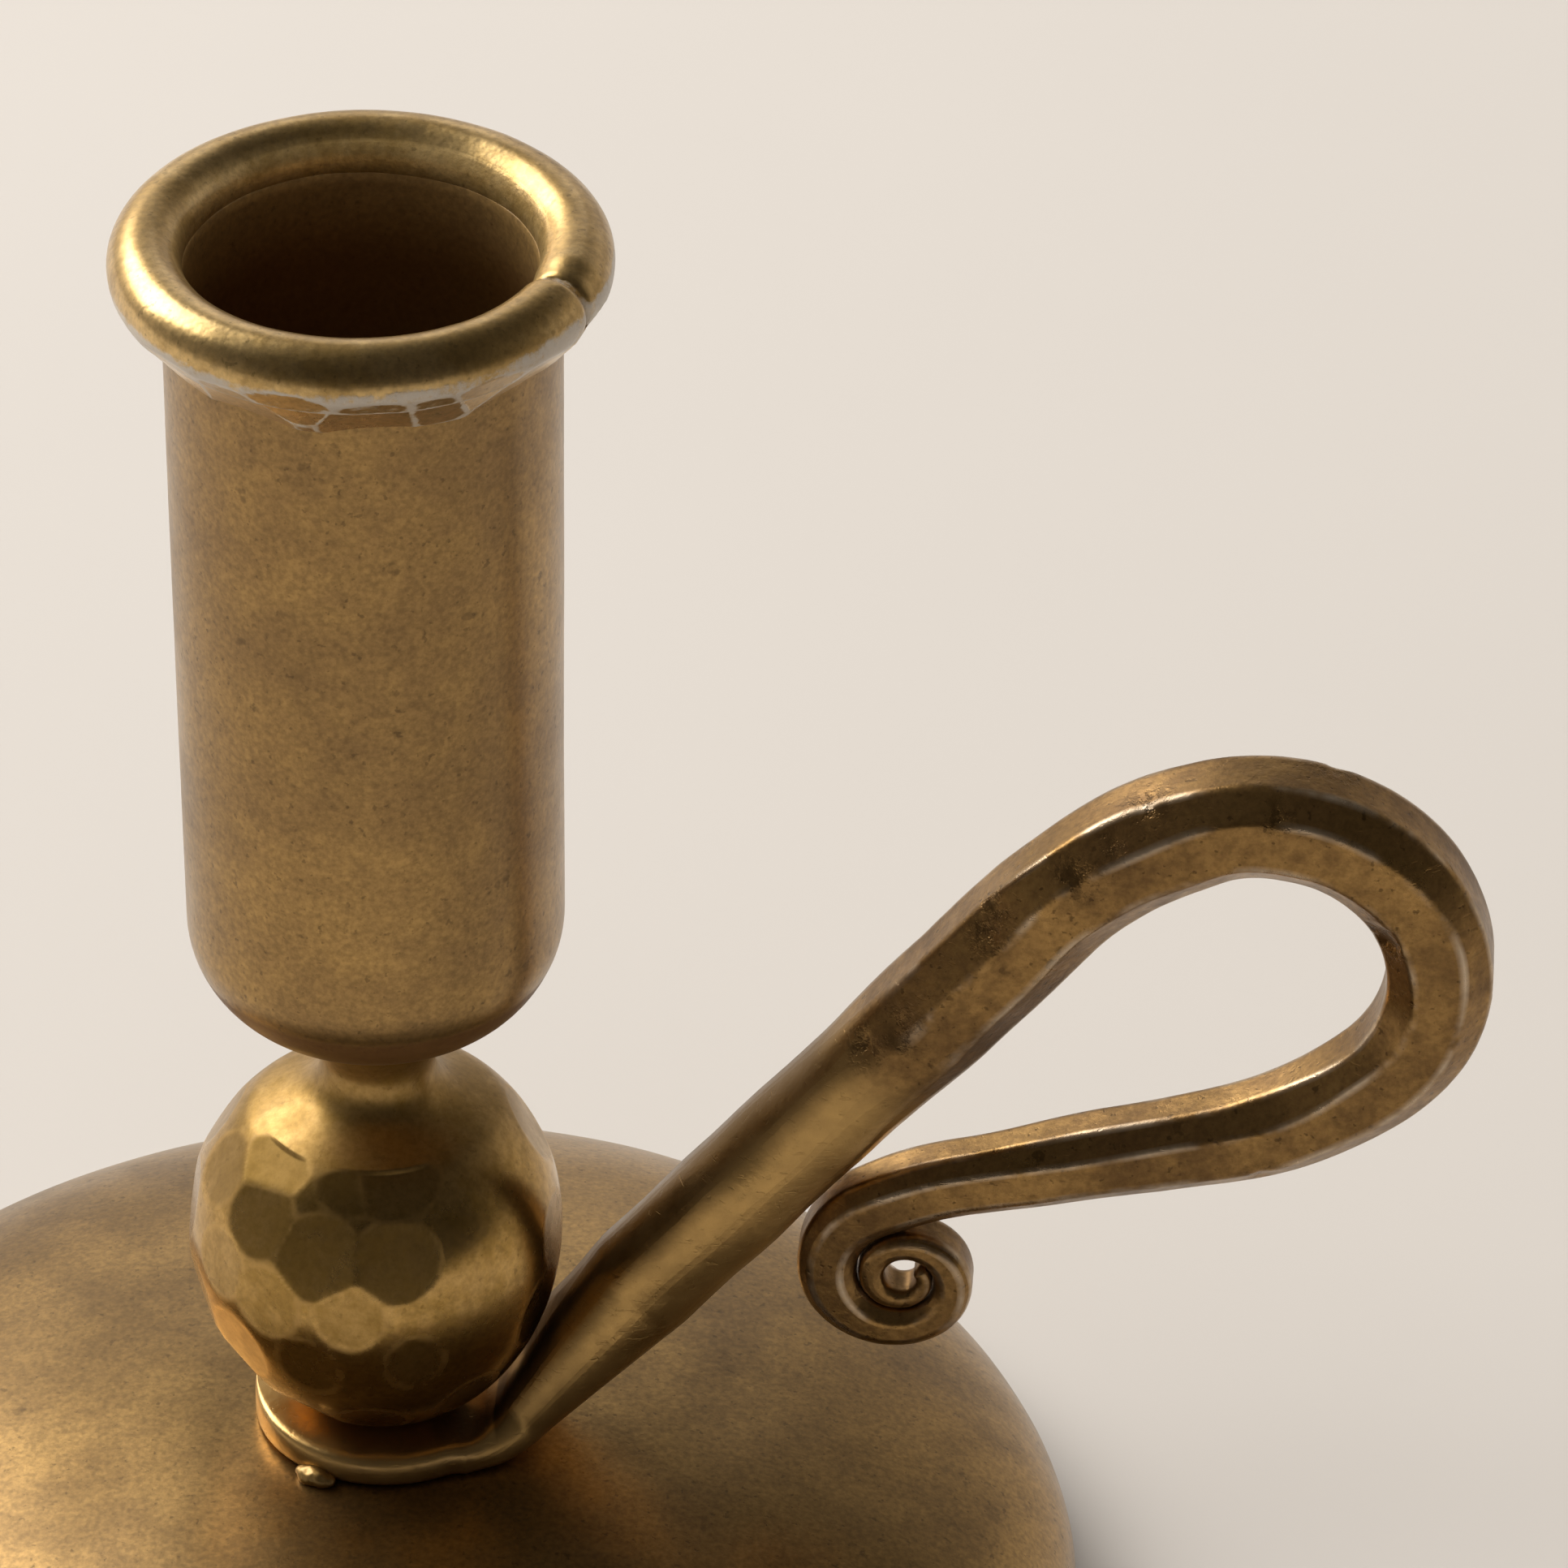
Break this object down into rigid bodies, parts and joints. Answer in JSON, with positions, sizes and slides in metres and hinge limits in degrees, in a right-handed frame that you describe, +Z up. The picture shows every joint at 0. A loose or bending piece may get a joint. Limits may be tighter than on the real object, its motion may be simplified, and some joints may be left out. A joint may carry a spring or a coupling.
{
  "type": "candlestick",
  "caption": "Forged brass chamberstick: a deep candle cup with a bent-bar rim on a hammered ball, over a spun dome base with a looped handle ending in a scroll.",
  "frame": {"origin": "on the candle's axis, on the underside of the felt, which is the surface the base rests on", "axes": "+Z up along the candle's axis, +X from the candle's axis towards the handle"},
  "size_m": [0.1204, 0.0944, 0.1135],
  "materials": {
    "dome_brass": "aged satin",
    "handle_brass": "forged, brown patina with rubbed edges",
    "ball_brass": "hammered and half polished",
    "cup_brass": "aged satin with a fine grain",
    "ring_brass": "hand-worked, hammered below, with pale residue",
    "braze": "dull, as brazed",
    "washer_brass": "plain",
    "steel": "zinc plated",
    "felt": "pressed wool felt"
  },
  "bodies": {
    "root": {"base_dome": "dome_brass", "handle": "handle_brass", "stem_ball": "ball_brass", "candle_cup": "cup_brass", "rim_ring": "ring_brass", "rim_braze": "braze", "eye_braze": "braze", "tie_screw": "steel", "cup_washer": "washer_brass", "base_washer": "steel", "lock_washer": "steel", "base_nut": "steel", "felt_disc": "felt"}
  },
  "joints": []
}
